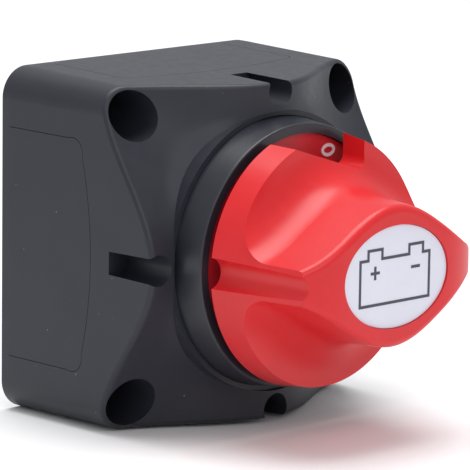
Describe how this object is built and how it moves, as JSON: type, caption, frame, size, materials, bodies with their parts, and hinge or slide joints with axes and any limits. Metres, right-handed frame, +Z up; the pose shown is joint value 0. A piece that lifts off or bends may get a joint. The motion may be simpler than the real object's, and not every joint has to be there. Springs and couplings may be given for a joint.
{
  "type": "battery isolator switch",
  "caption": "Square panel-mount battery isolator switch with a turning red handle knob, cable-entry panels and screw-stud terminals.",
  "frame": {"origin": "centre of the back face, on the knob's axis", "axes": "+X to the right seen from the front, +Z up, the front faces -Y; the knob turns about Y"},
  "size_m": [0.069, 0.0758, 0.069],
  "materials": {
    "black_plastic": "satin moulded black plastic with a faint grain",
    "red_plastic": "semi-gloss moulded red plastic",
    "dial_red": "red plastic disc",
    "label_white": "smooth white printed label",
    "print_dark": "dark grey ink",
    "print_white": "white ink",
    "insulator": "glass-filled insulating moulding",
    "copper": "tinned copper alloy",
    "silver_contact": "silver alloy",
    "zinc_steel": "zinc-plated steel",
    "spring_steel": "bright spring wire",
    "seal_rubber": "nitrile ring"
  },
  "bodies": {
    "base": {"housing": "black_plastic", "rear_cover": "black_plastic", "side_panel_top": "black_plastic", "side_panel_left": "black_plastic", "side_panel_bottom": "black_plastic", "side_panel_right": "black_plastic", "switch_body": "black_plastic", "shaft_seal": "seal_rubber", "dial_plate": "dial_red", "dial_marks": "print_white", "base_plate": "insulator", "base_screws": "zinc_steel", "body_screws": "zinc_steel", "terminal_stud_left": "copper", "terminal_stud_right": "copper", "fixed_contact_left": "silver_contact", "fixed_contact_right": "silver_contact", "flat_washers": "zinc_steel", "spring_washers": "zinc_steel", "terminal_nuts": "zinc_steel"},
    "rotor": {"rotor_shaft": "zinc_steel", "contact_carrier": "insulator", "moving_contact": "copper", "contact_springs": "spring_steel", "detent_balls": "spring_steel", "detent_springs": "spring_steel", "knob": "red_plastic", "knob_screw": "zinc_steel", "symbol_label": "label_white", "label_print": "print_dark"}
  },
  "joints": [
    {"name": "knob_turn", "type": "hinge", "parent": "base", "child": "rotor", "pos_m": [0, -0.045, 0], "axis": [0, 1, 0], "range_deg": [0, 90]}
  ]
}
